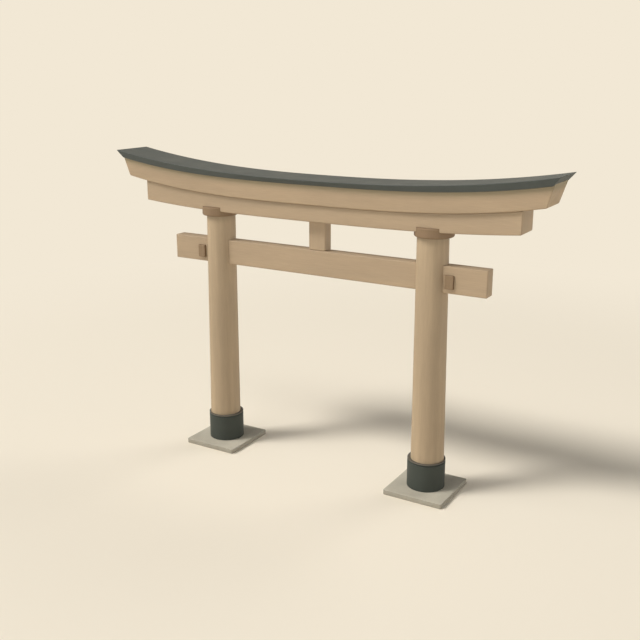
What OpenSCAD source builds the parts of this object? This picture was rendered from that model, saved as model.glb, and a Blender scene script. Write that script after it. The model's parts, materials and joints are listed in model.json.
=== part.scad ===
// Torii gate: two round posts on base stones, a tie beam keyed through them,
// a centre strut, two warped lintels and a capping that follows their warp.
// The origin is on the ground midway between the posts, X runs along the gate,
// Y runs through it and Z is up. All lengths are millimetres.

/* [Posts] */
// Distance between the post centres half way up
post_spacing = 2990; // [2600:10:3300]
// Post diameter at the foot
post_foot_d = 404; // [320:2:420]
// Post diameter at the head
post_head_d = 366; // [300:2:400]
// Inward lean of each post, in degrees
post_lean = 0.5; // [0:0.1:0.8]

/* [Base stones] */
// Width of each base stone, along the gate
stone_w = 760; // [700:10:1100]
// Depth of each base stone, through the gate
stone_d = 800; // [700:10:1100]
// Thickness of each base stone
stone_t = 63; // [45:1:160]
// Bevel on the edges of the stone
stone_bevel = 5; // [3:1:16]

/* [Sleeves] */
// Outer diameter of the sleeve around the foot of the post
sleeve_d = 458; // [456:2:600]
// Height of the sleeve's body above the stone
sleeve_h = 327; // [200:1:600]
// Height of the shadow groove between the body and the top ring
groove_h = 16; // [6:1:30]
// Depth of the shadow groove
groove_depth = 10; // [4:1:12]
// Thickness of the top ring
sleeve_ring_t = 14; // [10:1:40]
// Bevel on the upper edge of the top ring
sleeve_ring_bevel = 4; // [1:0.5:6]

/* [Head rings] */
// Outer diameter of the ring around the post head
head_ring_d = 458; // [440:2:520]
// Height of the head ring
head_ring_h = 119; // [100:1:200]
// How far the head ring is let into the lower lintel
let_in = 68; // [40:1:80]
// Rounding of the head ring's edges
head_ring_round = 20; // [3:1:24]

/* [Tie beam] */
// Height of the tie beam's underside above the ground
tie_z = 2496; // [2000:2:3000]
// Length of the tie beam
tie_len = 4360; // [4100:10:5000]
// Height of the tie beam
tie_h = 312; // [230:2:360]
// Depth of the tie beam
tie_d = 166; // [120:2:200]

/* [Keys] */
// Distance from the post's axis to the middle of the key
key_offset = 251; // [250:1:300]
// Width of the key, along the tie beam
key_w = 104; // [50:2:106]
// Height of the key
key_h = 158; // [80:2:180]
// Height of the key's middle above the middle of the tie beam
key_lift = -22; // [-24:1:20]
// How far the key stands out of each face of the tie beam
key_proud = 27; // [10:1:60]

/* [Strut] */
// Width of the centre strut
strut_w = 230; // [140:5:320]
// Depth of the centre strut
strut_d = 146; // [90:2:160]
// Clear height between the tie beam and the lower lintel
strut_h = 360; // [280:5:480]

/* [Lower lintel] */
// Length of the lower lintel
lower_len = 5114; // [4600:2:5400]
// Depth of the lower lintel
lower_d = 366; // [280:2:400]
// Height of the lower lintel at the middle
lower_h = 205; // [200:1:280]
// Rise of its underside from the middle to the ends
lower_rise = 82; // [20:1:110]

/* [Top lintel] */
// Length of the top lintel along its underside
top_len = 5628; // [5500:2:6400]
// How much further each end reaches at the top than at the underside
top_flare = 80; // [20:1:120]
// Depth of the top lintel at its underside
top_foot_d = 430; // [400:2:470]
// Depth of the top lintel at its top, inside the capping
top_head_d = 486; // [440:2:560]
// Height of the top lintel below the capping, at the middle
top_h = 239; // [170:1:300]
// Rise of its underside from the middle to the ends
top_rise = 184; // [100:1:220]
// How far its top is housed in the capping
top_housed = 30; // [20:1:34]

/* [Capping] */
// Thickness of the capping at the middle
cap_t = 60; // [50:1:120]
// Length of the capping along its lower edge
cap_len = 5750; // [5600:2:6500]
// Overhang of the capping's lower edge past the top lintel's top, at the faces
cap_overhang = 16; // [10:1:60]
// How much further the capping's upper edge reaches at the faces
cap_flare = 34; // [6:1:60]
// How much further the capping's upper edge reaches at the ends
cap_end_flare = 81; // [40:1:120]
// Rise of the capping's underside from the middle to the ends
cap_foot_rise = 180; // [100:1:220]
// Rise of the capping's top from the middle to the ends
cap_head_rise = 218; // [160:1:260]
// Bevel on the edges of the capping
cap_bevel = 5; // [1:1:10]

/* [Joinery] */
// Clearance between pieces that fit into or seat on one another
fit = 0.3; // [0.2:0.1:1]
// Bevel on the edges of the timbers
bevel = 9; // [2:1:14]
// Width and depth of the square tenon on each post head
head_tenon_w = 130; // [60:5:200]
// Length of the tenon on each post head
head_tenon_h = 60; // [30:5:70]
// Diameter of the round tenon under each post
foot_tenon_d = 120; // [60:5:200]
// Length of the tenon under each post
foot_tenon_h = 30; // [10:1:35]
// Width of the strut's tenons
strut_tenon_w = 120; // [80:5:130]
// Thickness of the strut's tenons
strut_tenon_t = 48; // [30:2:70]
// Length of the strut's tenons
strut_tenon_h = 70; // [30:5:100]

/* [Hidden] */

// The warp of the timbers follows the cube of the distance from the middle,
// and the capping's top starts to rise a little earlier.
WARP_POWER = 3;
CAP_POWER = 2.5;
// Sections along a warped beam, and facets round a turned piece
STATIONS = 56;
ROUND = 96;
// How far a cut runs past the face that it opens
PAST = 5;

WOOD = "#b89c7c";
DARK_WOOD = "#92785c";
STONE = "#b0a692";
DARK = "#464840";

// Heights above the ground
tie_top = tie_z + tie_h;
lower_z = tie_top + strut_h;
top_z = lower_z + lower_h;
cap_z = top_z + top_h;
ring_top = lower_z + let_in;
ring_z = ring_top - head_ring_h;
groove_z = stone_t + sleeve_h;
sleeve_ring_z = groove_z + groove_h;
sleeve_top = sleeve_ring_z + sleeve_ring_t;
key_z = tie_z + tie_h / 2 + key_lift;

// Half sizes of the lintels and the capping
lower_half = lower_len / 2;
top_half = top_len / 2;
top_head_half = top_half + top_flare;
cap_half = cap_len / 2;
cap_head_half = cap_half + cap_end_flare;
cap_foot_y = top_head_d / 2 + cap_overhang;
cap_head_y = cap_foot_y + cap_flare;

// Heights of the warped surfaces at a distance x from the middle
function warp(x, rise, reach, power) = rise * pow(abs(x) / reach, power);
function lower_under(x) = lower_z + warp(x, lower_rise, lower_half, WARP_POWER);
function top_under(x) = top_z + warp(x, top_rise, top_half, WARP_POWER);
function cap_under(x) = cap_z + warp(x, cap_foot_rise, cap_half, WARP_POWER);
function cap_over(x) = cap_z + cap_t + warp(x, cap_head_rise, cap_head_half, CAP_POWER);

// Middle of the pieces round the right post, which leans about a point half way up
side_x = post_spacing / 2;
post_pivot = (stone_t + ring_top) / 2;

// Axis and diameter of a post at a height z
function post_x(z) = side_x + (post_pivot - z) * tan(post_lean);
function post_d(z) = post_foot_d + (post_head_d - post_foot_d) * z / lower_z;

function mix(a, b, f) = a + (b - a) * f;

// Outline of a rectangle with bevelled corners, centred on the origin
module bevelled_rect(w, h, c) {
    x = w / 2;
    y = h / 2;
    polygon([[c - x, -y], [x - c, -y], [x, c - y], [x, y - c],
             [x - c, y], [c - x, y], [-x, y - c], [-x, c - y]]);
}

// Box with all its edges bevelled, centred on the origin
module bevelled_box(size, c) {
    intersection() {
        linear_extrude(size.z, center = true) bevelled_rect(size.x, size.y, c);
        rotate([90, 0, 0])
            linear_extrude(size.y, center = true) bevelled_rect(size.x, size.z, c);
        rotate([90, 0, 90])
            linear_extrude(size.x, center = true) bevelled_rect(size.y, size.z, c);
    }
}

// Box from the height z0 to z1, centred on x and on the gate's middle plane
module upright_box(x, w, d, z0, z1) {
    translate([x - w / 2, -d / 2, z0]) cube([w, d, z1 - z0]);
}

// Upright turned solid from z0 to z1 around the distance x
module turned(x, d, z0, z1) {
    translate([x, 0, z0]) cylinder(h = z1 - z0, d = d, $fn = ROUND);
}

// Tapered shaft of the right post from z0 to z1 along its leaning axis
module shaft(z0, z1, grow = 0) {
    translate([post_x(0), 0, 0])
        rotate([0, -post_lean, 0])
            translate([0, 0, z0])
                cylinder(h = z1 - z0, d1 = post_d(z0) + grow, d2 = post_d(z1) + grow, $fn = ROUND);
}

// Skin over a row of rings that have the same number of points
module skin(rings) {
    n = len(rings[0]);
    last = len(rings) - 1;
    walls = [for (i = [0 : last - 1], j = [0 : n - 1])
        let (a = i * n + j, b = i * n + (j + 1) % n)
        each [[a, b + n, b], [a, a + n, b + n]]];
    first_cap = [for (j = [0 : n - 1]) j];
    last_cap = [for (j = [n - 1 : -1 : 0]) last * n + j];
    polyhedron([for (r = rings) each r], concat(walls, [first_cap, last_cap]));
}

// One bevelled section of a warped beam. foot and head are the [x, z] of its
// underside and top, foot_y and head_y its half depths there, c the bevel,
// and inset draws the section in all round for the bevel at the beam's end.
function beam_ring(foot, head, foot_y, head_y, c, inset) =
    let (h = norm(head - foot),
         rises = [inset, inset + c, h - inset - c, h - inset] / h,
         steps = [inset + c, inset, inset, inset + c],
         near = [for (i = [0 : 3])
             [mix(foot.x, head.x, rises[i]),
              steps[i] - mix(foot_y, head_y, rises[i]),
              mix(foot.y, head.y, rises[i])]])
    concat([for (i = [3 : -1 : 0]) near[i]], [for (p = near) [p.x, -p.y, p.z]]);

// Shares of a beam's half length, from -1 to 1, each with its section's inset
function stations(reach, c) = concat(
    [[-1, c]],
    [for (i = [0 : STATIONS]) [(1 - c / reach) * (2 * i / STATIONS - 1), 0]],
    [[1, c]]);

// Solid of the lower lintel with no cuts
module lower_blank() {
    skin([for (s = stations(lower_half, bevel))
        let (x = s[0] * lower_half)
        beam_ring([x, lower_under(x) + fit], [x, top_under(x) - fit],
                  lower_d / 2, lower_d / 2, bevel, s[1])]);
}

// Stone under a post, with the socket of the post's foot tenon
module base_stone() {
    color(STONE)
    difference() {
        translate([side_x, 0, stone_t / 2])
            bevelled_box([stone_w, stone_d, stone_t], stone_bevel);
        turned(post_x(stone_t), foot_tenon_d + 2 * fit, stone_t - foot_tenon_h - fit, stone_t + PAST);
    }
}

// Tube that wraps the foot of the post, with the groove turned below its ring
module sleeve() {
    color(DARK)
    difference() {
        union() {
            turned(side_x, sleeve_d, stone_t + fit, groove_z);
            turned(side_x, sleeve_d - 2 * groove_depth, groove_z, sleeve_ring_z);
        }
        shaft(0, sleeve_top, 2 * fit);
    }
}

// Flat ring with a bevelled upper edge that closes the sleeve
module sleeve_ring() {
    r = sleeve_d / 2;
    color(DARK)
    difference() {
        translate([side_x, 0, sleeve_ring_z + fit])
            rotate_extrude($fn = ROUND)
                polygon([[0, 0], [r, 0], [r, sleeve_ring_t - fit - sleeve_ring_bevel],
                         [r - sleeve_ring_bevel, sleeve_ring_t - fit], [0, sleeve_ring_t - fit]]);
        shaft(0, sleeve_top + sleeve_ring_t, 2 * fit);
    }
}

// Round post with its foot and head tenons and the through mortise of the tie beam
module post() {
    color(WOOD)
    difference() {
        union() {
            intersection() {
                shaft(0, ring_top + PAST);
                upright_box(side_x, stone_w, stone_d, stone_t + fit, ring_top - fit);
            }
            turned(post_x(stone_t), foot_tenon_d, stone_t - foot_tenon_h, stone_t + PAST);
            upright_box(post_x(ring_top), head_tenon_w, head_tenon_w,
                        ring_top - PAST, ring_top + head_tenon_h);
        }
        upright_box(0, tie_len, tie_d + 2 * fit, tie_z - fit, tie_top + fit);
    }
}

// Turned ring with rounded edges around the post head
module head_ring() {
    r = head_ring_d / 2;
    q = head_ring_round;
    color(WOOD)
    difference() {
        translate([side_x, 0, ring_z])
            rotate_extrude($fn = ROUND) {
                square([r - q, head_ring_h - fit]);
                translate([0, q]) square([r, head_ring_h - fit - 2 * q]);
                for (z = [q, head_ring_h - fit - q])
                    translate([r - q, z]) circle(r = q, $fn = 48);
            }
        shaft(ring_z - 2 * PAST, ring_top + 2 * PAST, 2 * fit);
    }
}

// Through beam with a slot for each key and a mortise for the strut
module tie_beam() {
    color(WOOD)
    difference() {
        translate([0, 0, tie_z + tie_h / 2]) bevelled_box([tie_len, tie_d, tie_h], bevel);
        for (side = [-1, 1])
            upright_box(side * (post_x(key_z) + key_offset), key_w + 2 * fit, 2 * tie_d,
                        key_z - key_h / 2 - fit, key_z + key_h / 2 + fit);
        upright_box(0, strut_tenon_w + 2 * fit, strut_tenon_t + 2 * fit,
                    tie_top - strut_tenon_h - fit, tie_top + PAST);
    }
}

// Through key that stops the tie beam from sliding in the post
module key() {
    color(DARK_WOOD)
    translate([post_x(key_z) + key_offset, 0, key_z])
        bevelled_box([key_w, tie_d + 2 * key_proud, key_h], bevel / 2);
}

// Block between the tie beam and the lower lintel, tenoned into both
module strut() {
    color(WOOD) {
        translate([0, 0, tie_top + strut_h / 2])
            bevelled_box([strut_w, strut_d, strut_h - 2 * fit], bevel);
        upright_box(0, strut_tenon_w, strut_tenon_t,
                    tie_top - strut_tenon_h, lower_z + strut_tenon_h);
    }
}

// Warped beam that the head rings, the post tenons and the strut are let into
module lower_lintel() {
    color(WOOD)
    difference() {
        lower_blank();
        for (side = [-1, 1]) {
            turned(side * side_x, head_ring_d + 2 * fit, lower_z - PAST, ring_top);
            upright_box(side * post_x(ring_top), head_tenon_w + 2 * fit, head_tenon_w + 2 * fit,
                        ring_top - PAST, ring_top + head_tenon_h + fit);
        }
        upright_box(0, strut_tenon_w + 2 * fit, strut_tenon_t + 2 * fit,
                    lower_z - PAST, lower_z + strut_tenon_h + fit);
    }
}

// Solid of the top lintel, whose faces and ends lean outwards to the top,
// grown by some clearance all round
module top_blank(grow) {
    skin([for (s = stations(top_half, bevel))
        let (x = s[0] * (top_half + grow), head_x = s[0] * (top_head_half + grow))
        beam_ring([x, top_under(x)], [head_x, cap_under(head_x) + top_housed + grow],
                  top_foot_d / 2 + grow, top_head_d / 2 + grow, bevel, s[1])]);
}

// Warped beam whose top is housed in the capping
module top_lintel() {
    color(WOOD) top_blank(0);
}

// Flared capping that fits over the top lintel, with its ends cut back
// so that the lintel's ends show below them
module cap() {
    color(DARK)
    difference() {
        skin([for (s = stations(cap_half, cap_bevel))
            let (foot_x = s[0] * cap_half, head_x = s[0] * cap_head_half)
            beam_ring([foot_x, cap_under(foot_x)], [head_x, cap_over(head_x)],
                      cap_foot_y, cap_head_y, cap_bevel, s[1])]);
        top_blank(fit);
    }
}

mirror([1, 0, 0]) base_stone();  // base_stone_left
base_stone();  // base_stone_right
mirror([1, 0, 0]) sleeve();  // sleeve_left
sleeve();  // sleeve_right
mirror([1, 0, 0]) sleeve_ring();  // sleeve_ring_left
sleeve_ring();  // sleeve_ring_right
mirror([1, 0, 0]) post();  // post_left
post();  // post_right
mirror([1, 0, 0]) head_ring();  // head_ring_left
head_ring();  // head_ring_right
tie_beam();
mirror([1, 0, 0]) key();  // key_left
key();  // key_right
strut();
lower_lintel();
top_lintel();
cap();
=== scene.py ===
"""Finishes the torii gate: its timbers, sheet metal, stones and the studio it stands in."""

import json
import math

import bpy
from mathutils import Matrix, Vector

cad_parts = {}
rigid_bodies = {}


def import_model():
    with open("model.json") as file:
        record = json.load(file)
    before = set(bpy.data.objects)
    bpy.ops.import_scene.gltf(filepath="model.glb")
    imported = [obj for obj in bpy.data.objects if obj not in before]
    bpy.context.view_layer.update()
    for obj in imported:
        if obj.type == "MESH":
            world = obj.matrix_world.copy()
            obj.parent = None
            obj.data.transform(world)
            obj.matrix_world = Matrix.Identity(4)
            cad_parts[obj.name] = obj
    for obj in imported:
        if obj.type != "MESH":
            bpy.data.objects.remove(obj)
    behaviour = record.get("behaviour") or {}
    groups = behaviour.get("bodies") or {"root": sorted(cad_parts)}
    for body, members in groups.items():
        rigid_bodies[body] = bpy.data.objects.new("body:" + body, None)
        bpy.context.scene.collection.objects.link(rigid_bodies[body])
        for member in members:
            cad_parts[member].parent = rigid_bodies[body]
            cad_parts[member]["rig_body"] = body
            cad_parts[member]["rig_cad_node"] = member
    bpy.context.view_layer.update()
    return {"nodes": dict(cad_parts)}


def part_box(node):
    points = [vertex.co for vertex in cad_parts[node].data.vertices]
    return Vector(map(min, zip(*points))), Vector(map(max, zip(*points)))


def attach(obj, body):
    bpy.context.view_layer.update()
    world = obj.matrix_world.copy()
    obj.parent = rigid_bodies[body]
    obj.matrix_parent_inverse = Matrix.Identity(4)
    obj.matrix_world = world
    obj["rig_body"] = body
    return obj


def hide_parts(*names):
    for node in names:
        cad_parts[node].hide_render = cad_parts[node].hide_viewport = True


bl_info = {
    "name": "Torii gate finish",
    "version": (1, 0, 0),
    "blender": (4, 5, 0),
    "location": "View3D > Sidebar > Torii",
    "description": "Dresses a torii gate's frame with timber, sheet metal and stone",
    "category": "Add Mesh",
}

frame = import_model()
SIDES = ("left", "right")

# Directions in which the timbers' grain runs, as turns that bring it onto Z
GRAIN_UP = (0.0, 0.0, 0.0)
GRAIN_ALONG = (0.0, math.radians(90), 0.0)

# How close points have to be to count as one, and to count as on a face
WELD_DISTANCE = 0.00001
NEAR = 0.0001

# How finely the shapes are cut
EDGE_SEGMENTS = 3
CORNER_SEGMENTS = 6
ARRIS_SEGMENTS = 4
TUBE_SIDES = 128
FLOOR_SIDES = 96
STONE_CELLS = 30

# Angles between faces, past which an edge is rounded or stays sharp
FLAT_ANGLE = math.radians(3)
EDGE_ANGLE = math.radians(30)
SMOOTH_ANGLE = math.radians(40)
FOLD_ANGLE = math.radians(50)
ARRIS_ANGLE = math.radians(60)

# Width of the hollows left by dressing the stone, and how far wear reaches from an edge
HOLLOW_WIDTH = 0.09
FINE_WEAR = 0.006
STONE_WEAR = 0.010

# The range in which most values of a noise lie
NOISE_LOW = 0.3
NOISE_HIGH = 0.7

# The lintels rise towards their ends with this power of the distance
LINTEL_SWEEP = 3.0

# The lens and the sensor's width in millimetres, and how far off a sun stands
LENS = 50
SENSOR_WIDTH = 36
SUN_DISTANCE = 10

# The surround's colour, and the power with which it falls off above the horizon
SURROUND_COLOUR = (0.97, 1.0, 1.05, 1.0)
SURROUND_FALL = 6.0

# The floor's size, how far it lies below the gate, and where it fades into the backdrop
FLOOR_RADIUS = 80
FLOOR_DROP = 0.0005
FADE_START = 6.0
FADE_END = 13.0


# ---------------------------------------------------------------- settings


class TORII_PG_timber(bpy.types.PropertyGroup):
    """Colours and figure of the timbers, and the shade painted under their lips."""

    post_colour: bpy.props.FloatVectorProperty(
        name="Posts", description="Colour of the two posts", subtype="COLOR", size=3,
        min=0, max=1, default=(0.349, 0.258, 0.159))
    beam_colour: bpy.props.FloatVectorProperty(
        name="Beams", description="Colour of the tie beam, strut and lintels", subtype="COLOR",
        size=3, min=0, max=1, default=(0.344, 0.251, 0.156))
    head_ring_colour: bpy.props.FloatVectorProperty(
        name="Head rings", description="Colour of the rings round the post heads",
        subtype="COLOR", size=3, min=0, max=1, default=(0.199, 0.130, 0.072))
    key_colour: bpy.props.FloatVectorProperty(
        name="Keys", description="Colour of the keys through the tie beam", subtype="COLOR",
        size=3, min=0, max=1, default=(0.209, 0.139, 0.077))
    ring_spacing: bpy.props.FloatProperty(
        name="Growth rings", description="Distance between growth rings", subtype="DISTANCE",
        unit="LENGTH", min=0.002, max=0.03, default=0.008)
    figure: bpy.props.FloatProperty(
        name="Figure", description="How strongly the growth rings show", subtype="FACTOR",
        min=0, max=1, default=0.25)
    streaks: bpy.props.FloatProperty(
        name="Streaks", description="How strongly light and dark streaks run up the posts",
        subtype="FACTOR", min=0, max=0.3, default=0.055)
    arris: bpy.props.FloatProperty(
        name="Arris", description="Rounding of the timbers' chamfer edges", subtype="DISTANCE",
        unit="LENGTH", min=0.0005, max=0.004, default=0.002)
    housed: bpy.props.FloatProperty(
        name="Housed depth",
        description="How far the top lintel reaches up into the capping",
        subtype="DISTANCE", unit="LENGTH", min=0, default=0.03)
    # Painted shade: a grey band painted down the top lintel under the capping's lip, where the
    # capping casts its shadow.
    lip_shade_depth: bpy.props.FloatProperty(
        name="Lip shade depth",
        description="How far the painted grey shade reaches down the top lintel from the capping's lip",
        subtype="DISTANCE", unit="LENGTH", min=0.001, default=0.105)
    lip_shade_tone: bpy.props.FloatVectorProperty(
        name="Lip shade tone",
        description="What the painted shade leaves of the timber's colour right under the lip",
        subtype="COLOR", size=3, min=0, max=1, default=(0.70, 0.77, 0.74))
    # Painted shade: a band painted down the lower lintel's top, under the top lintel, where its
    # shadow falls.
    seat_depth: bpy.props.FloatProperty(
        name="Seat soiling depth",
        description="How far the soiling reaches down the lower lintel from the top lintel",
        subtype="DISTANCE", unit="LENGTH", min=0.001, default=0.14)
    seat_tone: bpy.props.FloatVectorProperty(
        name="Seat soiling tone",
        description="What the soiling leaves of the lower lintel's colour at its top",
        subtype="COLOR", size=3, min=0, max=1, default=(0.90, 0.92, 0.92))
    # Painted shade: a band painted down each post under its head ring, where the ring casts its
    # shadow.
    neck_depth: bpy.props.FloatProperty(
        name="Neck soiling depth",
        description="How far the soiling reaches down a post from its head ring",
        subtype="DISTANCE", unit="LENGTH", min=0.001, default=0.10)
    neck_tone: bpy.props.FloatVectorProperty(
        name="Neck soiling tone",
        description="What the soiling leaves of a post's colour right under its head ring",
        subtype="COLOR", size=3, min=0, max=1, default=(0.82, 0.84, 0.84))


class TORII_PG_metal(bpy.types.PropertyGroup):
    """Colours and gauge of the sheet metal."""

    capping_colour: bpy.props.FloatVectorProperty(
        name="Capping", description="Colour of the capping", subtype="COLOR", size=3,
        min=0, max=1, default=(0.064, 0.0705, 0.063))
    sleeve_colour: bpy.props.FloatVectorProperty(
        name="Sleeves", description="Colour of the sleeves round the post feet",
        subtype="COLOR", size=3, min=0, max=1, default=(0.045, 0.051, 0.041))
    # The rings' colour is partly their own brown tone and partly a painted highlight: it is lighter
    # to stand in for the light on their tops.
    ring_colour: bpy.props.FloatVectorProperty(
        name="Sleeve rings", description="Colour of the rings that close the sleeves",
        subtype="COLOR", size=3, min=0, max=1, default=(0.108, 0.096, 0.074))
    clearance: bpy.props.FloatProperty(
        name="Sleeve clearance", description="Gap between a sleeve and the post inside it",
        subtype="DISTANCE", unit="LENGTH", min=0.0002, max=0.003, default=0.0005)
    groove_depth: bpy.props.FloatProperty(
        name="Groove depth", description="Depth of the groove below a sleeve's top ring",
        subtype="DISTANCE", unit="LENGTH", min=0.002, max=0.015, default=0.010)
    groove_height: bpy.props.FloatProperty(
        name="Groove height", description="Height of the groove below a sleeve's top ring",
        subtype="DISTANCE", unit="LENGTH", min=0.005, max=0.03, default=0.016)
    fold: bpy.props.FloatProperty(
        name="Fold radius", description="Rounding of the folded sheet's edges",
        subtype="DISTANCE", unit="LENGTH", min=0.0005, max=0.004, default=0.0025)


class TORII_PG_stone(bpy.types.PropertyGroup):
    """Colour and dressing of the base stones."""

    colour: bpy.props.FloatVectorProperty(
        name="Stone", description="Colour of the base stones", subtype="COLOR", size=3,
        min=0, max=1, default=(0.494, 0.447, 0.348))
    corner: bpy.props.FloatProperty(
        name="Corner radius", description="Rounding of each stone's upright corners",
        subtype="DISTANCE", unit="LENGTH", min=0.005, max=0.05, default=0.022)
    arris: bpy.props.FloatProperty(
        name="Arris", description="Width of the worn edge round each stone",
        subtype="DISTANCE", unit="LENGTH", min=0.002, max=0.02, default=0.005)
    # Darkens the stones' sides against their tops, by which way each face points.
    darkening: bpy.props.FloatProperty(
        name="Side darkening", description="How much darker the stones' sides are than their tops",
        subtype="FACTOR", min=0, max=1, default=0.37)
    tooling: bpy.props.FloatProperty(
        name="Tooling", description="Depth of the unevenness left by dressing the stone",
        subtype="DISTANCE", unit="LENGTH", min=0, max=0.004, default=0.0014)


class TORII_PG_studio(bpy.types.PropertyGroup):
    """The camera, the lights, the floor and the backdrop."""

    view_azimuth: bpy.props.FloatProperty(
        name="View azimuth", description="Direction the gate is seen from, turned from its front",
        subtype="ANGLE", unit="ROTATION", default=math.radians(30.93))
    view_elevation: bpy.props.FloatProperty(
        name="View elevation", description="Height of the view above level", subtype="ANGLE",
        unit="ROTATION", default=math.radians(15.93))
    view_distance: bpy.props.FloatProperty(
        name="View distance", description="Distance from the camera to the point it looks at",
        subtype="DISTANCE", unit="LENGTH", min=1, default=11.044)
    aim_height: bpy.props.FloatProperty(
        name="Aim height", description="Height of the point that the camera looks at",
        subtype="DISTANCE", unit="LENGTH", default=1.9175)
    key_azimuth: bpy.props.FloatProperty(
        name="Key azimuth", description="Direction the key light comes from",
        subtype="ANGLE", unit="ROTATION", default=math.radians(-48.4))
    key_elevation: bpy.props.FloatProperty(
        name="Key elevation", description="Height of the key light above level",
        subtype="ANGLE", unit="ROTATION", default=math.radians(48.8))
    key_softness: bpy.props.FloatProperty(
        name="Key softness", description="Angle that the key light covers",
        subtype="ANGLE", unit="ROTATION", default=math.radians(15.8))
    key_strength: bpy.props.FloatProperty(
        name="Key strength", description="Strength of the key light", min=0, default=1.87)
    fill_azimuth: bpy.props.FloatProperty(
        name="Fill azimuth", description="Direction the faint fill light comes from",
        subtype="ANGLE", unit="ROTATION", default=math.radians(153))
    fill_elevation: bpy.props.FloatProperty(
        name="Fill elevation", description="Height of the fill light above level",
        subtype="ANGLE", unit="ROTATION", default=math.radians(43))
    fill_softness: bpy.props.FloatProperty(
        name="Fill softness", description="Angle that the fill light covers",
        subtype="ANGLE", unit="ROTATION", default=math.radians(28))
    fill_strength: bpy.props.FloatProperty(
        name="Fill strength", description="Strength of the fill light", min=0, default=0.45)
    strip_azimuth: bpy.props.FloatProperty(
        name="Strip azimuth", description="Direction the long strip light comes from",
        subtype="ANGLE", unit="ROTATION", default=math.radians(-47.3))
    strip_elevation: bpy.props.FloatProperty(
        name="Strip elevation", description="Height of the strip light above level",
        subtype="ANGLE", unit="ROTATION", default=math.radians(50.7))
    strip_distance: bpy.props.FloatProperty(
        name="Strip distance", description="Distance of the strip light from the gate",
        subtype="DISTANCE", unit="LENGTH", min=10, default=80)
    strip_length: bpy.props.FloatProperty(
        name="Strip length", description="Length of the strip light, along the gate",
        subtype="DISTANCE", unit="LENGTH", min=1, default=114)
    strip_width: bpy.props.FloatProperty(
        name="Strip width", description="Width of the strip light",
        subtype="DISTANCE", unit="LENGTH", min=1, default=27)
    strip_power: bpy.props.FloatProperty(
        name="Strip power", description="Power of the strip light", subtype="POWER",
        unit="POWER", min=0, default=25700)
    overhead: bpy.props.FloatProperty(
        name="Overhead light", description="Level of the soft light from straight above",
        min=0, default=0.0)
    horizon: bpy.props.FloatProperty(
        name="Horizon light", description="Level of the soft light from all round",
        min=0, default=4.26)
    floor_colour: bpy.props.FloatVectorProperty(
        name="Floor", description="Colour of the floor", subtype="COLOR", size=3,
        min=0, max=1, default=(0.912, 0.820, 0.665))
    backdrop_colour: bpy.props.FloatVectorProperty(
        name="Backdrop", description="Colour of the backdrop", subtype="COLOR", size=3,
        min=0, max=1, default=(0.888, 0.806, 0.665))


# ---------------------------------------------------------------- modelling


def deselect_all():
    """Leaves nothing selected, so that an operator acts on the next piece alone."""
    if bpy.context.object and bpy.context.object.mode != "OBJECT":
        bpy.ops.object.mode_set(mode="OBJECT")
    bpy.ops.object.select_all(action="DESELECT")


def make_active(piece):
    """Makes the piece active, and the only one selected."""
    deselect_all()
    piece.select_set(True)
    bpy.context.view_layer.objects.active = piece


def name_new(name):
    """Names the object that was just added."""
    piece = bpy.context.active_object
    piece.name = name
    piece.data.name = name
    return piece


def settle(piece):
    """Moves the piece's place, turn and scale into its mesh."""
    make_active(piece)
    bpy.ops.object.transform_apply(location=True, rotation=True, scale=True)


def apply_modifiers(piece):
    """Applies all of the piece's modifiers, in their order."""
    make_active(piece)
    for modifier in list(piece.modifiers):
        bpy.ops.object.modifier_apply(modifier=modifier.name)


def round_edges(piece, width, angle=EDGE_ANGLE):
    """Rounds every edge sharper than the angle, and keeps the faces beside it flat."""
    make_active(piece)
    bpy.ops.object.shade_smooth()
    bevel = piece.modifiers.new("round_edges", "BEVEL")
    bevel.width = width
    bevel.segments = EDGE_SEGMENTS
    bevel.limit_method = "ANGLE"
    bevel.angle_limit = angle
    bevel.harden_normals = True
    apply_modifiers(piece)


def clean(piece):
    """Joins doubled points and turns every face outwards."""
    make_active(piece)
    bpy.ops.object.mode_set(mode="EDIT")
    bpy.ops.mesh.select_all(action="SELECT")
    bpy.ops.mesh.remove_doubles(threshold=WELD_DISTANCE)
    bpy.ops.mesh.normals_make_consistent(inside=False)
    bpy.ops.object.mode_set(mode="OBJECT")


def stand_for(piece, node, material):
    """Puts the finished piece in the place of a node of the frame."""
    piece.data.materials.clear()
    piece.data.materials.append(material)
    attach(piece, "root")
    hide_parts(node)


def coat(node, material):
    """Gives a node of the frame its material."""
    for slot in frame["nodes"][node].material_slots:
        slot.material = material


def soften(node, name, width, material):
    """Replaces a node by a copy of it as one joined surface, with its edges rounded."""
    make_active(frame["nodes"][node])
    bpy.ops.object.duplicate()
    piece = name_new(name)
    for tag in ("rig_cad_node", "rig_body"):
        del piece[tag]
    piece.parent = None
    bpy.ops.mesh.customdata_custom_splitnormals_clear()
    clean(piece)
    bpy.ops.object.mode_set(mode="EDIT")
    bpy.ops.mesh.select_all(action="SELECT")
    bpy.ops.mesh.tris_convert_to_quads(face_threshold=FLAT_ANGLE, shape_threshold=math.pi)
    bpy.ops.object.mode_set(mode="OBJECT")
    round_edges(piece, width)
    stand_for(piece, node, material)


# ---------------------------------------------------------------- materials


def feed(tree, socket, value):
    """Links another node's output to a socket, or sets the socket's own value."""
    if isinstance(value, bpy.types.NodeSocket):
        tree.links.new(value, socket)
    else:
        socket.default_value = value


def add_node(tree, kind, place, inputs=None, **settings):
    """Adds a node, sets its options, and links or sets its inputs."""
    node = tree.nodes.new(kind)
    node.location = place
    for option, value in settings.items():
        setattr(node, option, value)
    for socket, value in (inputs or {}).items():
        feed(tree, node.inputs[socket], value)
    return node


def calculate(tree, place, operation, a, b=0.0, clamp=False):
    """The result of one sum on two values."""
    return add_node(tree, "ShaderNodeMath", place, {0: a, 1: b}, operation=operation,
                    use_clamp=clamp).outputs[0]


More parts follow.
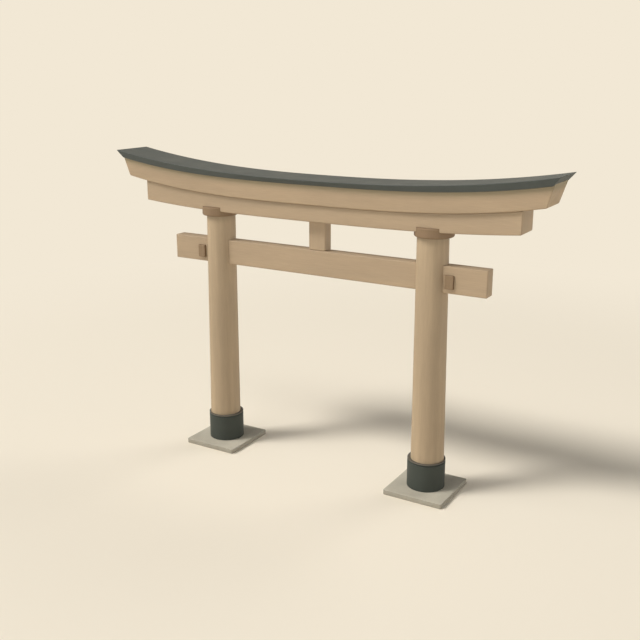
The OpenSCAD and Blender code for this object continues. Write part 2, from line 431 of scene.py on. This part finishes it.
def calculate_vector(tree, place, operation, a, b):
    """The result of one sum on two vectors, or on a colour and three factors."""
    return add_node(tree, "ShaderNodeVectorMath", place, {0: a, 1: b},
                    operation=operation).outputs[0]


def scale_vector(tree, place, vector, amount):
    """A vector or colour times one amount."""
    return add_node(tree, "ShaderNodeVectorMath", place, {0: vector, "Scale": amount},
                    operation="SCALE").outputs[0]


def measure_vector(tree, place, vector):
    """The length of a vector."""
    return add_node(tree, "ShaderNodeVectorMath", place, {0: vector},
                    operation="LENGTH").outputs["Value"]


def split_vector(tree, place, vector):
    """The three parts of a vector, named X, Y and Z."""
    return add_node(tree, "ShaderNodeSeparateXYZ", place, {0: vector}).outputs


def blend_colours(tree, place, factor, a, b):
    """Colour a where the factor is 0, and colour b where it is 1."""
    return add_node(tree, "ShaderNodeMix", place, {0: factor, 6: a, 7: b},
                    data_type="RGBA").outputs[2]


def remap(tree, place, value, low, high, to_low=0.0, to_high=1.0, curve="SMOOTHSTEP"):
    """Brings values between low and high into a new range, and holds the others at its ends."""
    return add_node(
        tree, "ShaderNodeMapRange", place,
        {"Value": value, "From Min": low, "From Max": high, "To Min": to_low, "To Max": to_high},
        interpolation_type=curve).outputs[0]


def spread(tree, place, value, to_low=0.0, to_high=1.0):
    """Brings a noise's usual values into a new range."""
    return remap(tree, place, value, NOISE_LOW, NOISE_HIGH, to_low, to_high)


def vary(tree, place, value, amount):
    """A factor that a noise moves round 1, by the amount up and down."""
    return spread(tree, place, value, 1.0 - amount, 1.0 + amount)


def noise(tree, place, vector, scale, detail, roughness=0.5):
    """The outputs of a noise texture."""
    return add_node(
        tree, "ShaderNodeTexNoise", place,
        {"Vector": vector, "Scale": scale, "Detail": detail, "Roughness": roughness}).outputs


def new_group(name, inputs, outputs):
    """An empty node group with named sockets, and its input and output nodes."""
    group = bpy.data.node_groups.new(name, "ShaderNodeTree")
    for socket, (kind, default) in inputs.items():
        made = group.interface.new_socket(name=socket, in_out="INPUT", socket_type=kind)
        if default is not None:
            made.default_value = default
    for socket, kind in outputs.items():
        group.interface.new_socket(name=socket, in_out="OUTPUT", socket_type=kind)
    start = group.nodes.new("NodeGroupInput")
    start.location = (-1400, 0)
    end = group.nodes.new("NodeGroupOutput")
    end.location = (900, 0)
    return group, start, end


def timber_grain_group():
    """Growth rings round an axis along Z, with fibres, drifts of tone, streaks and a height."""
    group, start, end = new_group(
        "Timber grain",
        {"Position": ("NodeSocketVector", None), "Ring Spacing": ("NodeSocketFloat", 0.008),
         "Wander": ("NodeSocketFloat", 0.03)},
        {"Rings": "NodeSocketFloat", "Fibres": "NodeSocketFloat", "Drift": "NodeSocketFloat",
         "Streaks": "NodeSocketFloat", "Height": "NodeSocketFloat"})
    position = start.outputs["Position"]
    slow = calculate_vector(group, (-1150, 200), "MULTIPLY", position, (1.0, 1.0, 0.22))
    wander = noise(group, (-950, 200), slow, 2.3, 3.0)["Color"]
    centred = calculate_vector(group, (-750, 200), "SUBTRACT", wander, (0.5, 0.5, 0.5))
    shift = scale_vector(group, (-550, 200), centred, start.outputs["Wander"])
    moved = calculate_vector(group, (-350, 200), "ADD", position, shift)
    flat = calculate_vector(group, (-150, 200), "MULTIPLY", moved, (1.0, 1.0, 0.0))
    radius = measure_vector(group, (50, 200), flat)
    count = calculate(group, (250, 200), "DIVIDE", radius, start.outputs["Ring Spacing"])
    phase = calculate(group, (400, 200), "FRACT", count)
    rings = calculate(group, (550, 200), "POWER", phase, 2.5)
    along = calculate_vector(group, (-1150, -100), "MULTIPLY", position, (1.0, 1.0, 0.025))
    fibres = noise(group, (-950, -100), along, 230.0, 3.0, 0.6)["Fac"]
    broad = calculate_vector(group, (-1150, -400), "MULTIPLY", position, (1.0, 1.0, 0.12))
    drift = noise(group, (-950, -400), broad, 7.0, 4.0, 0.55)["Fac"]
    drawn = calculate_vector(group, (-1150, -700), "MULTIPLY", position, (1.0, 1.0, 0.04))
    streaks = noise(group, (-950, -700), drawn, 15.0, 1.0)["Fac"]
    height = add_node(group, "ShaderNodeMath", (550, -100), {0: rings, 1: 0.5, 2: fibres},
                      operation="MULTIPLY_ADD").outputs[0]
    for socket, value in (("Rings", rings), ("Fibres", fibres), ("Drift", drift),
                          ("Streaks", streaks), ("Height", height)):
        group.links.new(value, end.inputs[socket])
    return group


def worn_edge_group():
    """A mask of the convex edges, broken up by noise, and the normal rounded over them."""
    group, start, end = new_group(
        "Worn edges",
        {"Position": ("NodeSocketVector", None), "Radius": ("NodeSocketFloat", 0.008)},
        {"Edge": "NodeSocketFloat", "Normal": "NodeSocketVector"})
    rounded = add_node(group, "ShaderNodeBevel", (-900, 0), {"Radius": start.outputs["Radius"]},
                       samples=4).outputs[0]
    facing = add_node(group, "ShaderNodeNewGeometry", (-900, -200)).outputs["Normal"]
    agree = add_node(group, "ShaderNodeVectorMath", (-650, 0), {0: rounded, 1: facing},
                     operation="DOT_PRODUCT").outputs["Value"]
    turn = calculate(group, (-450, 0), "SUBTRACT", 1.0, agree)
    edge = remap(group, (-250, 0), turn, 0.004, 0.12)
    patchy = noise(group, (-450, -250), start.outputs["Position"], 22.0, 3.0, 0.6)["Fac"]
    wear = remap(group, (-250, -250), patchy, 0.32, 0.62, 0.35, 1.0)
    group.links.new(calculate(group, (0, 0), "MULTIPLY", edge, wear), end.inputs["Edge"])
    group.links.new(rounded, end.inputs["Normal"])
    return group


def mottle_group():
    """Cloudy patches, fine grain and rare specks, for stone and weathered metal."""
    group, start, end = new_group(
        "Mottle",
        {"Position": ("NodeSocketVector", None), "Cloud Scale": ("NodeSocketFloat", 6.0),
         "Grain Scale": ("NodeSocketFloat", 300.0)},
        {"Clouds": "NodeSocketFloat", "Grain": "NodeSocketFloat", "Specks": "NodeSocketFloat"})
    position = start.outputs["Position"]
    clouds = noise(group, (-900, 200), position, start.outputs["Cloud Scale"], 5.0, 0.6)["Fac"]
    grain = noise(group, (-900, -50), position, start.outputs["Grain Scale"], 2.0, 0.6)["Fac"]
    cells = add_node(group, "ShaderNodeTexVoronoi", (-900, -300),
                     {"Vector": position, "Scale": start.outputs["Grain Scale"]})
    specks = remap(group, (-600, -300), cells.outputs["Distance"], 0.08, 0.22, 1.0, 0.0)
    for socket, value in (("Clouds", clouds), ("Grain", grain), ("Specks", specks)):
        group.links.new(value, end.inputs[socket])
    return group


def painted_shade_group():
    """A mask for painted shade: full under a lip, which may sweep up to both sides, and fading
    downwards.
    """
    group, start, end = new_group(
        "Painted shade under lip",
        {"Position": ("NodeSocketVector", None), "Lip Height": ("NodeSocketFloat", 0.0),
         "Lip Rise": ("NodeSocketFloat", 0.0), "Lip Reach": ("NodeSocketFloat", 1.0),
         "Depth": ("NodeSocketFloat", 0.1)},
        {"Mask": "NodeSocketFloat"})
    axes = split_vector(group, (-1150, 0), start.outputs["Position"])
    share = calculate(group, (-950, 0), "DIVIDE", axes["X"], start.outputs["Lip Reach"])
    away = calculate(group, (-750, 0), "ABSOLUTE", share)
    sweep = calculate(group, (-550, 0), "POWER", away, LINTEL_SWEEP)
    risen = calculate(group, (-350, 0), "MULTIPLY", sweep, start.outputs["Lip Rise"])
    lip = calculate(group, (-150, 0), "ADD", risen, start.outputs["Lip Height"])
    drop = calculate(group, (50, 0), "SUBTRACT", lip, axes["Z"])
    mask = remap(group, (250, 0), drop, 0.0, start.outputs["Depth"], 1.0, 0.0)
    group.links.new(mask, end.inputs["Mask"])
    return group


def place_group(tree, place, name, make, inputs):
    """Places a shared group in a material, and makes the group the first time."""
    group = bpy.data.node_groups.get(name) or make()
    return add_node(tree, "ShaderNodeGroup", place, inputs, node_tree=group).outputs


def blank_material(name):
    """A material with only a Principled shader, and the object's own coordinates."""
    material = bpy.data.materials.new(name)
    material.use_nodes = True
    tree = material.node_tree
    shader = tree.nodes["Principled BSDF"]
    position = add_node(tree, "ShaderNodeTexCoord", (-1600, 0)).outputs["Object"]
    return material, tree, shader, position


def shade(colour, factor):
    """The colour made darker or lighter by a factor, with full opacity."""
    return tuple(min(1.0, channel * factor) for channel in colour) + (1.0,)


def wear_edges(tree, position, radius, share, colour, worn_colour):
    """A colour with its edges worn to another by a share, and the normal rounded over them."""
    worn = place_group(tree, (-1150, -300), "Worn edges", worn_edge_group,
                       {"Position": position, "Radius": radius})
    edge = calculate(tree, (-700, -300), "MULTIPLY", worn["Edge"], share)
    return blend_colours(tree, (-300, 200), edge, colour, worn_colour), worn["Normal"]


def finish_shader(tree, shader, colour, roughness, specular, bump):
    """Feeds a finish's colour, roughness, gloss and bump to its shader."""
    relief = add_node(tree, "ShaderNodeBump", (-300, -250), bump)
    for name, value in (("Base Color", colour), ("Roughness", roughness),
                        ("Specular IOR Level", specular), ("Normal", relief.outputs[0])):
        feed(tree, shader.inputs[name], value)


def painted_shade_below(lip, depth, tone, rise=0.0, reach=1.0):
    """The tone and the place of shade painted under a lip, which may rise by so much at its reach."""
    return tuple(tone), {"Lip Height": lip, "Lip Rise": rise, "Lip Reach": reach, "Depth": depth}


def timber(name, colour, turn, shift, wander=0.05, streaks=0.0, darkening=None):
    """Planed timber. The turn and then the shift bring the heart of its log onto the Z axis."""
    settings = bpy.context.scene.torii_timber
    material, tree, shader, position = blank_material(name)
    log = add_node(tree, "ShaderNodeMapping", (-1400, 0),
                   {"Vector": position, "Location": shift, "Rotation": turn}).outputs[0]
    grain = place_group(tree, (-1150, 0), "Timber grain", timber_grain_group,
                        {"Position": log, "Ring Spacing": settings.ring_spacing, "Wander": wander})
    late = calculate(tree, (-900, 200), "MULTIPLY", grain["Rings"], settings.figure)
    rings = blend_colours(tree, (-700, 200), late, shade(colour, 1.06), shade(colour, 0.72))
    fibres = vary(tree, (-900, 0), grain["Fibres"], 0.05)
    drift = vary(tree, (-900, -120), grain["Drift"], 0.045)
    tone = calculate(tree, (-700, 0), "MULTIPLY", fibres, drift)
    if streaks:
        bands = vary(tree, (-900, 400), grain["Streaks"], streaks)
        tone = calculate(tree, (-600, 0), "MULTIPLY", tone, bands)
    toned = scale_vector(tree, (-500, 200), rings, tone)
    final, normal = wear_edges(tree, position, FINE_WEAR, 0.30, toned, shade(colour, 1.28))
    # Painted shade: under a lip the colour is darkened, standing in for the shadow that the piece
    # above casts.
    if darkening:
        shade_tone, lip = darkening
        mask = place_group(tree, (-500, 500), "Painted shade under lip", painted_shade_group,
                           {"Position": position, **lip})["Mask"]
        darkened = calculate_vector(tree, (-150, 400), "MULTIPLY", final, shade_tone)
        final = blend_colours(tree, (0, 300), mask, final, darkened)
    rough = spread(tree, (-500, -100), grain["Drift"], 0.60, 0.74)
    finish_shader(tree, shader, final, rough, 0.3,
                  {"Strength": 0.35, "Distance": 0.0012, "Height": grain["Height"], "Normal": normal})
    return material


def sheet_metal(name, colour, cloud_scale):
    """Dull weathered sheet, faintly clouded and paler on its edges."""
    material, tree, shader, position = blank_material(name)
    mottle = place_group(tree, (-1150, 0), "Mottle", mottle_group,
                         {"Position": position, "Cloud Scale": cloud_scale, "Grain Scale": 420.0})
    clouds = spread(tree, (-900, 100), mottle["Clouds"])
    patina = blend_colours(tree, (-700, 100), clouds, shade(colour, 0.93), shade(colour, 1.07))
    speck = calculate(tree, (-900, -80), "MULTIPLY", mottle["Specks"], 0.12)
    flecked = blend_colours(tree, (-500, 100), speck, patina, shade(colour, 1.7))
    final, normal = wear_edges(tree, position, FINE_WEAR, 0.35, flecked, shade(colour, 1.8))
    rough = spread(tree, (-500, -100), mottle["Clouds"], 0.56, 0.70)
    finish_shader(tree, shader, final, rough, 0.3,
                  {"Strength": 0.2, "Distance": 0.0008, "Height": mottle["Grain"], "Normal": normal})
    return material


def dressed_stone(name, colour, darkening):
    """Pale stone with fine tooling, faint clouds, sides darker than the top, and paler worn edges."""
    material, tree, shader, position = blank_material(name)
    mottle = place_group(tree, (-1150, 0), "Mottle", mottle_group,
                         {"Position": position, "Cloud Scale": 4.0, "Grain Scale": 160.0})
    clouds = spread(tree, (-900, 150), mottle["Clouds"])
    base = blend_colours(tree, (-700, 150), clouds, shade(colour, 0.93), shade(colour, 1.07))
    grain = vary(tree, (-900, 0), mottle["Grain"], 0.07)
    facing = add_node(tree, "ShaderNodeNewGeometry", (-1300, 250)).outputs["Normal"]
    upward = split_vector(tree, (-1100, 250), facing)["Z"]
    # The sides are made darker than the top, by which way each face points.
    darkened = remap(tree, (-900, -150), upward, 0.45, 0.85, 1.0 - darkening, 1.0)
    tone = calculate(tree, (-700, -20), "MULTIPLY", grain, darkened)
    grained = scale_vector(tree, (-500, 150), base, tone)
    speck = calculate(tree, (-700, -80), "MULTIPLY", mottle["Specks"], 0.35)
    flecked = blend_colours(tree, (-400, 300), speck, grained, shade(colour, 0.55))
    final, normal = wear_edges(tree, position, STONE_WEAR, 0.25, flecked, shade(colour, 1.15))
    finish_shader(tree, shader, final, 0.85, 0.25,
                  {"Strength": 0.5, "Distance": 0.0015, "Height": mottle["Grain"], "Normal": normal})
    return material


def upright_shift(node, aside, forward):
    """The shift for an upright piece's log, whose heart is left of its middle and in front."""
    low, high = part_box(node)
    return (aside - (low.x + high.x) / 2, forward, 0.0)


def level_shift(height, forward):
    """The shift for a level beam's log, whose heart is in front of it.

    The heart is as far below the ground as the beam is above it, so the rings lie almost level.
    """
    return (height, forward, 0.0)


# ---------------------------------------------------------------- operators


class TORII_OT_posts(bpy.types.Operator):
    """Give both posts upright grain, streaks, and painted shade on their necks under the head rings.
    """

    bl_idname = "torii.posts"
    bl_label = "Posts"
    bl_options = {"REGISTER", "UNDO"}

    def execute(self, context):
        settings = context.scene.torii_timber
        for side in SIDES:
            node = f"post_{side}"
            # Shade is painted on the post below its head ring.
            neck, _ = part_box(f"head_ring_{side}")
            darkening = painted_shade_below(neck.z, settings.neck_depth, settings.neck_tone)
            coat(node, timber(
                f"post_timber_{side}", settings.post_colour, GRAIN_UP,
                upright_shift(node, 0.26, 0.15), wander=0.03, streaks=settings.streaks,
                darkening=darkening))
        return {"FINISHED"}


class TORII_OT_head_rings(bpy.types.Operator):
    """Give the rings round the post heads their darker timber."""

    bl_idname = "torii.head_rings"
    bl_label = "Head rings"
    bl_options = {"REGISTER", "UNDO"}

    def execute(self, context):
        colour = context.scene.torii_timber.head_ring_colour
        for side in SIDES:
            node = f"head_ring_{side}"
            shift = upright_shift(node, 0.4, 0.3)
            coat(node, timber(f"head_ring_timber_{side}", colour, GRAIN_UP, shift))
        return {"FINISHED"}


class TORII_OT_tie_beam(bpy.types.Operator):
    """Model the tie beam, its keys and the strut with softened chamfers."""

    bl_idname = "torii.tie_beam"
    bl_label = "Tie beam, keys and strut"
    bl_options = {"REGISTER", "UNDO"}

    def execute(self, context):
        settings = context.scene.torii_timber
        low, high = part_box("tie_beam")
        shift = level_shift((low.z + high.z) / 2, 0.05)
        beam = timber("tie_beam_timber", settings.beam_colour, GRAIN_ALONG, shift)
        soften("tie_beam", "tie_beam_timber", settings.arris, beam)
        shift = upright_shift("strut", 0.12, 0.2)
        upright = timber("strut_timber", settings.beam_colour, GRAIN_UP, shift)
        soften("strut", "strut_timber", settings.arris, upright)
        for side in SIDES:
            shift = upright_shift(f"key_{side}", 0.2, 0.1)
            wedge = timber(f"key_timber_{side}", settings.key_colour, GRAIN_UP, shift)
            soften(f"key_{side}", f"key_timber_{side}", settings.arris, wedge)
        return {"FINISHED"}


class TORII_OT_lintels(bpy.types.Operator):
    """Model both warped lintels as smooth timbers with softened chamfers."""

    bl_idname = "torii.lintels"
    bl_label = "Lintels"
    bl_options = {"REGISTER", "UNDO"}

    def execute(self, context):
        settings = context.scene.torii_timber
        # Shade is painted on each lintel below the piece above it: the lower lintel below the top
        # lintel, the top lintel below the capping.
        lower = ("lower_lintel", 0.02, "top_lintel", 0.0, settings.seat_depth, settings.seat_tone)
        top = ("top_lintel", 0.06, "cap", settings.housed, settings.lip_shade_depth, settings.lip_shade_tone)
        for node, rise, above, housed, depth, tone in (lower, top):
            low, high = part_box(node)
            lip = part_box(above)[0].z
            darkening = painted_shade_below(lip, depth, tone, high.z - housed - lip, high.x)
            material = timber(f"{node}_timber", settings.beam_colour, GRAIN_ALONG,
                              level_shift(low.z + rise, 0.04), darkening=darkening)
            soften(node, f"{node}_timber", settings.arris, material)
        return {"FINISHED"}


class TORII_OT_capping(bpy.types.Operator):
    """Model the flared sheet capping with softened folds."""

    bl_idname = "torii.capping"
    bl_label = "Capping"
    bl_options = {"REGISTER", "UNDO"}

    def execute(self, context):
        settings = context.scene.torii_metal
        material = sheet_metal("capping_sheet", settings.capping_colour, 3.0)
        soften("cap", "capping_sheet", settings.fold / 2, material)
        return {"FINISHED"}


def turned_tube(name, profile):
    """A closed tube drawn by extruding a circle through rings of [middle, radius, height]."""
    deselect_all()
    middle, radius, height = profile[0]
    bpy.ops.mesh.primitive_circle_add(
        vertices=TUBE_SIDES, radius=radius, location=(middle, 0.0, height))
    piece = name_new(name)
    settle(piece)
    bpy.ops.object.mode_set(mode="EDIT")
    bpy.ops.mesh.select_all(action="SELECT")
    for next_middle, next_radius, next_height in profile[1:] + profile[:1]:
        bpy.ops.mesh.extrude_edges_move(
            TRANSFORM_OT_translate={"value": (next_middle - middle, 0.0, next_height - height)})
        widening = next_radius / radius
        bpy.ops.transform.resize(
            value=(widening, widening, 1.0), center_override=(next_middle, 0.0, 0.0))
        middle, radius, height = next_middle, next_radius, next_height
    bpy.ops.object.mode_set(mode="OBJECT")
    clean(piece)
    return piece


class TORII_OT_sleeves(bpy.types.Operator):
    """Model the sleeves round the post feet and the rings that close them."""

    bl_idname = "torii.sleeves"
    bl_label = "Sleeves"
    bl_options = {"REGISTER", "UNDO"}

    def execute(self, context):
        settings = context.scene.torii_metal
        sheet = sheet_metal("sleeve_sheet", settings.sleeve_colour, 9.0)
        # Painted highlight in part: the rings' sheet is lighter than the sleeves' to stand in for the
        # light on their tops.
        ring_sheet = sheet_metal("sleeve_ring_sheet", settings.ring_colour, 9.0)
        for side in SIDES:
            low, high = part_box(f"sleeve_{side}")
            middle = (low.x + high.x) / 2
            outer = (high.x - low.x) / 2
            neck = outer - settings.groove_depth
            shoulder = high.z - settings.groove_height
            foot, bore = self.bore(side, settings.clearance)
            body = turned_tube(
                f"sleeve_sheet_{side}",
                [(middle, outer, low.z), (middle, outer, shoulder), (middle, neck, shoulder),
                 (middle, neck, high.z), (foot, bore, high.z), (foot, bore, low.z)])
            round_edges(body, settings.fold, FOLD_ANGLE)
            stand_for(body, f"sleeve_{side}", sheet)
            low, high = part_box(f"sleeve_ring_{side}")
            ring = turned_tube(
                f"sleeve_ring_sheet_{side}",
                [(middle, outer, low.z), (middle, outer, high.z), (foot, bore, high.z),
                 (foot, bore, low.z)])
            round_edges(ring, settings.fold, FOLD_ANGLE)
            stand_for(ring, f"sleeve_ring_{side}", ring_sheet)
        return {"FINISHED"}

    @staticmethod
    def bore(side, clearance):
        """Middle and radius of a sleeve's bore, round the foot of the leaning post."""
        low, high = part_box(f"post_{side}")
        radius = high.y
        middle = high.x - radius if side == "right" else low.x + radius
        return middle, radius + clearance


class TORII_OT_base_stones(bpy.types.Operator):
    """Model one base stone with worn edges and tooled faces, and copy it."""

    bl_idname = "torii.base_stones"
    bl_label = "Base stones"
    bl_options = {"REGISTER", "UNDO"}

    def execute(self, context):
        settings = context.scene.torii_stone
        material = dressed_stone("base_stone_dressed", settings.colour, settings.darkening)
        low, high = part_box("base_stone_left")
        tooled_low = low + Vector((settings.tooling, settings.tooling, 0.0))
        tooled_high = high - Vector((settings.tooling, settings.tooling, settings.tooling))
        size = tooled_high - tooled_low
        middle = (tooled_low + tooled_high) / 2
        deselect_all()
        bpy.ops.mesh.primitive_grid_add(
            x_subdivisions=STONE_CELLS, y_subdivisions=STONE_CELLS, size=1.0,
            location=(middle.x, middle.y, tooled_low.z))
        stone = name_new("base_stone_dressed_left")
        stone.scale = size
        settle(stone)
        bpy.ops.object.mode_set(mode="EDIT")
        bpy.ops.mesh.select_all(action="SELECT")
        bpy.ops.mesh.extrude_region_move(TRANSFORM_OT_translate={"value": (0.0, 0.0, size.z)})
        bpy.ops.object.mode_set(mode="OBJECT")
        clean(stone)
        self.weigh_corners(stone, tooled_low, tooled_high)
        corners = stone.modifiers.new("corners", "BEVEL")
        corners.limit_method = "WEIGHT"
        corners.width = settings.corner
        corners.segments = CORNER_SEGMENTS
        arris = stone.modifiers.new("arris", "BEVEL")
        arris.width = settings.arris
        arris.segments = ARRIS_SEGMENTS
        arris.angle_limit = ARRIS_ANGLE
        apply_modifiers(stone)
        faces = stone.vertex_groups.new(name="faces")
        above = [v.index for v in stone.data.vertices if v.co.z > low.z + settings.arris]
        faces.add(above, 1.0, "REPLACE")
        clouds = bpy.data.textures.new("stone_tooling", "CLOUDS")
        clouds.noise_scale = HOLLOW_WIDTH
        tooling = stone.modifiers.new("tooling", "DISPLACE")
        tooling.texture = clouds
        tooling.strength = settings.tooling
        tooling.vertex_group = faces.name
        apply_modifiers(stone)
        bpy.ops.object.shade_smooth_by_angle(angle=SMOOTH_ANGLE)
        make_active(stone)
        bpy.ops.object.duplicate()
        twin = name_new("base_stone_dressed_right")
        right_low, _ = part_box("base_stone_right")
        twin.location.x = right_low.x - low.x
        settle(twin)
        stand_for(stone, "base_stone_left", material)
        stand_for(twin, "base_stone_right", material)
        return {"FINISHED"}

    @staticmethod
    def weigh_corners(stone, low, high):
        """Gives the four upright corner edges, and no others, a bevel weight."""
        weights = stone.data.attributes.new("bevel_weight_edge", "FLOAT", "EDGE")
        for edge, weight in zip(stone.data.edges, weights.data):
            first, second = (stone.data.vertices[index].co for index in edge.vertices)
            upright = abs(first.z - second.z) > (high.z - low.z) / 2
            at_side = min(first.x - low.x, high.x - first.x) < NEAR
            at_face = min(first.y - low.y, high.y - first.y) < NEAR
            weight.value = float(upright and at_side and at_face)


class TORII_OT_studio(bpy.types.Operator):
    """Set the camera, the key, fill and strip lights, the surround, the floor and the backdrop."""

    bl_idname = "torii.studio"
    bl_label = "Studio"
    bl_options = {"REGISTER", "UNDO"}

    def execute(self, context):
        settings = context.scene.torii_studio
        self.add_camera(context, settings)
        self.add_sun(settings.key_azimuth, settings.key_elevation,
                     settings.key_softness, settings.key_strength)
        self.add_sun(settings.fill_azimuth, settings.fill_elevation,
                     settings.fill_softness, settings.fill_strength)
        self.add_strip(settings)
        self.add_soft_light(context, settings)
        self.add_floor(settings)
        context.scene.view_settings.view_transform = "Standard"
        return {"FINISHED"}

    @staticmethod
    def direction(azimuth, elevation):
        """The way to a point seen at these angles from the gate's front."""
        level = math.cos(elevation)
        return Vector((math.sin(azimuth) * level, -math.cos(azimuth) * level, math.sin(elevation)))

    def add_camera(self, context, settings):
        """A camera that looks at a point above the middle of the gate's foot."""
        away = self.direction(settings.view_azimuth, settings.view_elevation)
        aim = Vector((0, 0, settings.aim_height))
        deselect_all()
        bpy.ops.object.camera_add(location=aim + away * settings.view_distance)
        camera = bpy.context.active_object
        camera.rotation_euler = (-away).to_track_quat("-Z", "Y").to_euler()
        camera.data.lens = LENS
        camera.data.sensor_width = SENSOR_WIDTH
        context.scene.camera = camera

    def add_sun(self, azimuth, elevation, softness, strength):
        """A far, more or less soft light from one direction."""
        away = self.direction(azimuth, elevation)
        deselect_all()
        bpy.ops.object.light_add(type="SUN", location=away * SUN_DISTANCE)
        sun = bpy.context.active_object
        sun.rotation_euler = away.to_track_quat("Z", "Y").to_euler()
        sun.data.energy = strength
        sun.data.angle = softness

    def add_strip(self, settings):
        """A long soft light that runs level with the gate."""
        away = self.direction(settings.strip_azimuth, settings.strip_elevation)
        along = (Vector((1, 0, 0)) - away * away.x).normalized()
        deselect_all()
        bpy.ops.object.light_add(type="AREA", location=away * settings.strip_distance)
        strip = bpy.context.active_object
        strip.rotation_euler = Matrix((along, away.cross(along), away)).transposed().to_euler()
        strip.data.shape = "ELLIPSE"
        strip.data.size = settings.strip_length
        strip.data.size_y = settings.strip_width
        strip.data.energy = settings.strip_power

    @staticmethod
    def seen_directly(tree, place):
        """1 for rays that show the backdrop itself: camera, glossy and transmission rays."""
        path = add_node(tree, "ShaderNodeLightPath", place).outputs
        mirror = calculate(tree, (place[0] + 200, place[1]), "MAXIMUM",
                           path["Is Glossy Ray"], path["Is Transmission Ray"])
        return calculate(tree, (place[0] + 400, place[1]), "MAXIMUM", path["Is Camera Ray"], mirror)

    @staticmethod
    def blend_shaders(tree, output, factor, first, second):
        """Shows the first shader where the factor is 0, and the second where it is 1."""
        mixed = add_node(tree, "ShaderNodeMixShader", (300, 0),
                         {0: factor, 1: first.outputs[0], 2: second.outputs[0]})
        add_node(tree, output, (500, 0), {"Surface": mixed.outputs[0]})

    def add_soft_light(self, context, settings):
        """A surround that is brighter level with the gate than overhead."""
        world = bpy.data.worlds.new("studio_surround")
        world.use_nodes = True
        tree = world.node_tree
        tree.nodes.clear()
        ray = add_node(tree, "ShaderNodeTexCoord", (-900, 0)).outputs["Generated"]
        height = split_vector(tree, (-700, 0), ray)["Z"]
        low = calculate(tree, (-500, 0), "SUBTRACT", 1.0, height, clamp=True)
        band = calculate(tree, (-300, 0), "POWER", low, SURROUND_FALL)
        level = remap(tree, (-100, 0), band, 0.0, 1.0, settings.overhead, settings.horizon, "LINEAR")
        soft = add_node(tree, "ShaderNodeBackground", (100, 0),
                        {"Color": SURROUND_COLOUR, "Strength": level})
        shown = add_node(tree, "ShaderNodeBackground", (100, -150),
                         {"Color": shade(settings.backdrop_colour, 1.0)})
        direct = self.seen_directly(tree, (-500, 300))
        self.blend_shaders(tree, "ShaderNodeOutputWorld", direct, soft, shown)
        context.scene.world = world

    def add_floor(self, settings):
        """A wide floor that fades into the backdrop's colour far from the gate."""
        deselect_all()
        bpy.ops.mesh.primitive_circle_add(
            vertices=FLOOR_SIDES, radius=FLOOR_RADIUS, fill_type="NGON", location=(0, 0, -FLOOR_DROP))
        floor = name_new("floor")
        settle(floor)
        material = bpy.data.materials.new("floor")
        material.use_nodes = True
        tree = material.node_tree
        tree.nodes.clear()
        position = add_node(tree, "ShaderNodeTexCoord", (-900, 0)).outputs["Object"]
        away = measure_vector(tree, (-700, 0), position)
        far = remap(tree, (-500, 0), away, FADE_START, FADE_END)
        direct = self.seen_directly(tree, (-700, 300))
        fade = calculate(tree, (-100, 0), "MULTIPLY", far, direct)
        matt = add_node(tree, "ShaderNodeBsdfDiffuse", (100, 0),
                        {"Color": shade(settings.floor_colour, 1.0)})
        glow = add_node(tree, "ShaderNodeEmission", (100, -150),
                        {"Color": shade(settings.backdrop_colour, 1.0)})
        self.blend_shaders(tree, "ShaderNodeOutputMaterial", fade, matt, glow)
        floor.data.materials.append(material)


OPERATORS = (
    TORII_OT_posts,
    TORII_OT_head_rings,
    TORII_OT_tie_beam,
    TORII_OT_lintels,
    TORII_OT_capping,
    TORII_OT_sleeves,
    TORII_OT_base_stones,
    TORII_OT_studio,
)
SETTINGS = {
    "torii_timber": TORII_PG_timber,
    "torii_metal": TORII_PG_metal,
    "torii_stone": TORII_PG_stone,
    "torii_studio": TORII_PG_studio,
}


class TORII_PT_panel(bpy.types.Panel):
    """List the gate's settings and the steps that finish it."""

    bl_idname = "TORII_PT_panel"
    bl_label = "Torii gate"
    bl_space_type = "VIEW_3D"
    bl_region_type = "UI"
    bl_category = "Torii"

    def draw(self, context):
        for group in SETTINGS:
            box = self.layout.box()
            settings = getattr(context.scene, group)
            for name in settings.bl_rna.properties.keys():
                if name not in ("rna_type", "name"):
                    box.prop(settings, name)
        for operator in OPERATORS:
            self.layout.operator(operator.bl_idname)


def register():
    """Adds the settings, the operators and the panel to Blender."""
    for cls in (*SETTINGS.values(), *OPERATORS, TORII_PT_panel):
        bpy.utils.register_class(cls)
    for name, cls in SETTINGS.items():
        setattr(bpy.types.Scene, name, bpy.props.PointerProperty(type=cls))


def unregister():
    """Takes them away again."""
    for name in SETTINGS:
        delattr(bpy.types.Scene, name)
    for cls in (TORII_PT_panel, *reversed(OPERATORS), *reversed(SETTINGS.values())):
        bpy.utils.unregister_class(cls)


def main():
    """Dresses the gate, piece by piece, and sets up its studio."""
    register()
    bpy.ops.torii.posts()
    bpy.ops.torii.head_rings()
    bpy.ops.torii.tie_beam()
    bpy.ops.torii.lintels()
    bpy.ops.torii.capping()
    bpy.ops.torii.sleeves()
    bpy.ops.torii.base_stones()
    bpy.ops.torii.studio()


if __name__ == "__main__":
    main()
